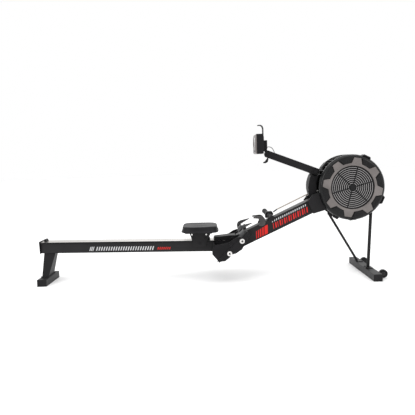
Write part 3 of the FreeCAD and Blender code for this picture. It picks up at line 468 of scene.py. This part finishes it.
def make_straps():
    """Two webbing straps over the insteps, each with its free tail through the buckle."""
    low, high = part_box("foot_boards")
    board_start, board_base, board_thick = 8, 4.6, 20
    origin = (low[0] - along_foot(board_start, board_base + board_thick)[0] * MM,
              low[2] - along_foot(board_start, board_base)[1] * MM)
    across_beam = 0.0723            # inner edge of each board, from the centre plane
    middle = (high[1] + across_beam) / 2
    reach = 0.0632                  # from a board's middle to the strap's foot
    x, z = along_foot(1, 0)
    ahead = Vector((x, 0, z))
    # Along the board and above it in millimetres, and the share of the reach.
    over = [(258, 27, -1), (260, 36, -0.99), (263, 45, -0.9), (266, 50.5, -0.6),
            (267, 52.5, -0.2), (267, 52.5, 0.25), (266, 50.5, 0.66), (263, 45, 0.92),
            (260, 36, 0.99), (258, 27, 1)]
    tail = [(252, 58, 0.12), (276, 63, 0.1), (300, 58, 0.07), (330, 47, 0.0), (359, 35, -0.06)]
    bm = bmesh.new()
    for sign in (-1, 1):
        def route(points, steps):
            return smooth_path([foot_line(origin, along, above, sign * middle + share * reach)
                                for along, above, share in points], steps)

        ribbon(bm, route(over, 5), ahead, 0.038, 0.0026)
        twisting_tail(bm, route(tail, 6))
    straps = new_object("instep_straps", bm, MAT["webbing"], "frame", smooth=False)
    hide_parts("foot_straps")


# ---- Chain and lead ------------------------------------------------------------------------

def link_plate(bm, place, ahead, side, length, tall, thick):
    """One figure-of-eight side plate."""
    up = side.cross(ahead)
    waist = 0.34                    # half height between the ends, as a share of the full height
    outline = []
    for end in (1, -1):
        for step in range(7):
            turn = math.radians(-90 + 30 * step)
            outline.append(ahead * end * (length / 2 + tall / 2 * math.cos(turn))
                           + up * end * tall / 2 * math.sin(turn))
        outline.append(up * end * tall * waist)
    rings = [[bm.verts.new(place + p + side * thick * h / 2) for p in outline] for h in (-1, 1)]
    skin(bm, rings)


def make_chain():
    """A roller chain from the handle's shackle to the guide roller."""
    low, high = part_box("drive_chain")
    inset = 0.002
    start = Vector((low[0] + inset, 0, low[2] + 2 * inset))
    end = Vector((high[0] - inset, 0, high[2] - 2 * inset))
    pitch = 0.0127
    plate_tall, plate_thick = 0.0078, 0.0008
    plate_places = (0.0025, 0.0034)             # inner and outer links, from the centre plane
    roller_radius, roller_wide = 0.0034, 0.0046
    pin_radius, pin_long = 0.0016, 0.0084
    count = int((end - start).length / pitch)
    ahead = (end - start).normalized()
    side = Vector((0, 1, 0))
    bm = bmesh.new()
    for k in range(count):
        place = start + ahead * pitch * (k + 0.5)
        for sign in (-1, 1):
            link_plate(bm, place + side * sign * plate_places[k % 2], ahead, side, pitch,
                       plate_tall, plate_thick)
    for k in range(count + 1):
        turn = (Matrix.Translation(start + ahead * pitch * k)
                @ Matrix.Rotation(math.pi / 2, 4, "X"))
        for sides, radius, long in ((14, roller_radius, roller_wide), (12, pin_radius, pin_long)):
            bmesh.ops.create_cone(bm, cap_ends=True, segments=sides, radius1=radius,
                                  radius2=radius, depth=long, matrix=turn)
    chain = new_object("chain_links", bm, MAT["chain_nickel"], smooth=False)
    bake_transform(chain)
    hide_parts("drive_chain")


def make_lead():
    """The sensor lead, from the console's mounting box over into the top of the arm."""
    low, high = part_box("console_cable")
    radius = 0.0022
    start = Vector((low[0], 0, 0.924))
    end = Vector((high[0] - radius, 0, low[2]))
    route = [start, start + Vector((0.0141, 0, 0.0035)), start + Vector((0.0291, 0, 0)),
             start + Vector((0.0411, 0, -0.010)), start + Vector((0.0481, 0, -0.024)), end]
    data = bpy.data.curves.new("console_lead", "CURVE")
    data.dimensions = "3D"
    data.bevel_depth = radius
    data.bevel_resolution = 4
    data.use_fill_caps = True
    route = smooth_path(route, 6)
    spline = data.splines.new("POLY")
    spline.points.add(len(route) - 1)
    for point, place in zip(spline.points, route):
        point.co = (*place, 1)
    data.materials.append(MAT["cable_black"])
    line = bpy.data.objects.new("lead_line", data)
    bpy.context.scene.collection.objects.link(line)
    shape = line.evaluated_get(bpy.context.evaluated_depsgraph_get())
    lead = bpy.data.objects.new("console_lead", bpy.data.meshes.new_from_object(shape))
    bpy.data.objects.remove(line)
    bpy.context.scene.collection.objects.link(lead)
    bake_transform(lead)
    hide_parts("console_cable")


# ---- Graphics -----------------------------------------------------------------------------------

def side_plate(bm, corners, y, depth):
    """A thin printed patch on a side face, from its corners in X and Z."""
    rings = [[bm.verts.new((x, y + h * depth, z)) for x, z in corners] for h in (0, 1)]
    skin(bm, rings)


def bar_on(run, start, wide, low, high, lean):
    """Corners of a bar at a station of a tilted run, leaning forwards at its top."""
    end = start + wide
    return [run(start, low), run(end, low), run(end + lean, high), run(start + lean, high)]


def run_frame(node, tilt, depth):
    """Stations along a tilted tube, above its lower edge, in metres."""
    low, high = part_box(node)
    c, s = math.cos(tilt), math.sin(tilt)
    if tilt > 0:
        origin = (low[0] + depth * s, low[2])
    else:
        origin = (low[0], high[2] - depth * c)

    def at(along, above):
        return (origin[0] + along * c - above * s, origin[1] + along * s + above * c)
    return at


def hatch(bm, run, side, count, first, step, wides, low, high, lean):
    """A row of leaning bars on the side face at Y = side; the widths take turns."""
    for k in range(count):
        corners = bar_on(run, first + step * k, wides[k % len(wides)], low, high, lean)
        side_plate(bm, corners, side, math.copysign(FILM, side))


def make_graphics():
    """Plain bars in red and silver on both sides of the beam and the rail; no lettering."""
    beam = run_frame("main_beam", BEAM_RISE, BEAM_DEPTH)
    rail = run_frame("monorail", -RAIL_FALL, RAIL_DEPTH)
    bar_foot = 0.010
    bars = [(0.120, 0.006, 0.060), (0.134, 0.008, 0.061), (0.149, 0.012, 0.062),
            (0.168, 0.012, 0.064), (0.186, 0.026, 0.067)]
    red, silver = bmesh.new(), bmesh.new()
    for sign in (-1, 1):
        side = sign * (BEAM_SIDE + LIFT)
        for start, wide, high in bars:
            hatch(red, beam, side, 1, start, 0, (wide,), bar_foot, high,
                  (high - bar_foot) * math.tan(BEAM_RISE))
        hatch(silver, beam, side, 17, 0.272, 0.0162, (0.0075,), 0.067, 0.079, 0.006)
        hatch(red, beam, side, 16, 0.262, 0.0175, (0.005, 0.009), 0.020, 0.058, 0.012)
        side = sign * (RAIL_SIDE + LIFT)
        hatch(silver, rail, side, 3, 0.352, 0.011, (0.006,), 0.014, 0.044, 0.010)
        hatch(silver, rail, side, 24, 0.400, 0.0176, (0.0078,), 0.015, 0.043, 0.009)
        hatch(red, rail, side, 7, 0.845, 0.014, (0.0065,), 0.018, 0.036, 0.005)
    for name, bm, slot in (("red", red, "gloss_shell"), ("silver", silver, "silver_plastic")):
        film = new_object("graphics_" + name, bm, MAT["decal_" + name], "frame", smooth=False)


# ---- Grille ----------------------------------------------------------------------------------

def arc_band(bm, middle, radius, start, end, wide, y):
    """A thin flat band along part of a circle in the XZ plane, raised towards the near side."""
    step_long = 0.006
    steps = max(4, int((end - start) * radius / step_long))
    half = wide / 2
    corners = ((-half, 0), (-half, -MARK_HEIGHT), (half, -MARK_HEIGHT), (half, 0))
    rings = []
    for k in range(steps + 1):
        turn = start + (end - start) * k / steps
        c, s = math.cos(turn), math.sin(turn)
        rings.append([bm.verts.new((middle.x + (radius + a) * c, y + b,
                                    middle.z + (radius + a) * s)) for a, b in corners])
    skin(bm, rings)


def make_grille_rings():
    """Grey bands on the grille's rings, broken where the dark spokes cross them."""
    middle = wheel_middle()
    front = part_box("near_cover")[0][1] + 0.002
    ring_first, ring_step, ring_count = 0.030, 0.0135, 9
    spokes, spoke_first, spoke_half = 6, math.radians(15), 0.0042
    bm = bmesh.new()
    for k in range(ring_count):
        radius = ring_first + ring_step * k
        gap = spoke_half / radius
        for spoke in range(spokes):
            start = spoke_first + math.tau / spokes * spoke
            arc_band(bm, middle, radius, start + gap, start + math.tau / spokes - gap, 0.0038,
                     front + LIFT)
    bands = new_object("grille_bands", bm, MAT["ring_grey"], "frame", smooth=False)


# ---- Small hardware --------------------------------------------------------------------------

def button_head(bm, place, sign, rings):
    """A turned head on a side face: (radius, how far it stands out) pairs, from the rim inwards."""
    around = 40
    loops = []
    for radius, out in rings:
        loops.append([bm.verts.new((place[0] + radius * math.cos(2 * math.pi * k / around),
                                    place[1] + sign * out,
                                    place[2] + radius * math.sin(2 * math.pi * k / around)))
                      for k in range(around)])
    skin(bm, loops)


def make_bolt_sockets():
    """A dark round socket and a raised bead on each of the four footrest bolts; the socket is a
    near-black disc set just off the face, painted shade for its hollow.
    """
    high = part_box("footrest_bolts")[1]
    head_radius = 0.017
    upper = Vector((high[0] - head_radius, 0, high[2] - head_radius))
    x, z = along_foot(0.1218, 0.0011)
    lower = upper - Vector((x, 0, z))
    # The socket disc's near-black finish is painted shade for the hollow of the socket.
    socket = [(0.0058, LIFT), (0.0058, 0.0006), (0.0050, 0.0008)]
    bead = [(0.0112, LIFT), (0.0108, 0.0008), (0.0092, 0.0011), (0.0086, 0.0002)]
    socket_shade_discs, beads = bmesh.new(), bmesh.new()
    for sign in (-1, 1):
        for bolt in (upper, lower):
            place = (bolt.x, sign * high[1], bolt.z)
            button_head(socket_shade_discs, place, sign, socket)
            button_head(beads, place, sign, bead)
    # The socket discs take the near-black steel_dark finish as painted shade.
    new_object("bolt_socket_shade_discs", socket_shade_discs, MAT["steel_dark"], "frame")
    new_object("bolt_beads", beads, MAT["zinc"], "frame")


def make_pad_ribs():
    """Three small raised ribs on each thumb pad of the damper ring."""
    middle = wheel_middle()
    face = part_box("damper_pads")[0][1]
    bm = bmesh.new()
    for k in range(8):
        turn = math.radians(35 + 45 * (k + 0.5))
        for step in range(3):
            reach = 0.13 - 0.012 * step
            arc_band(bm, middle, 0.182 + 0.0075 * step, turn - reach, turn + reach, 0.0022,
                     face + LIFT)
    new_object("pad_ribs", bm, MAT["gloss_shell"], "damper")


make_camera()
make_stage()
dress_frame()
make_seat_pad()
make_straps()
make_chain()
make_lead()
make_graphics()
make_grille_rings()
make_bolt_sockets()
make_pad_ribs()
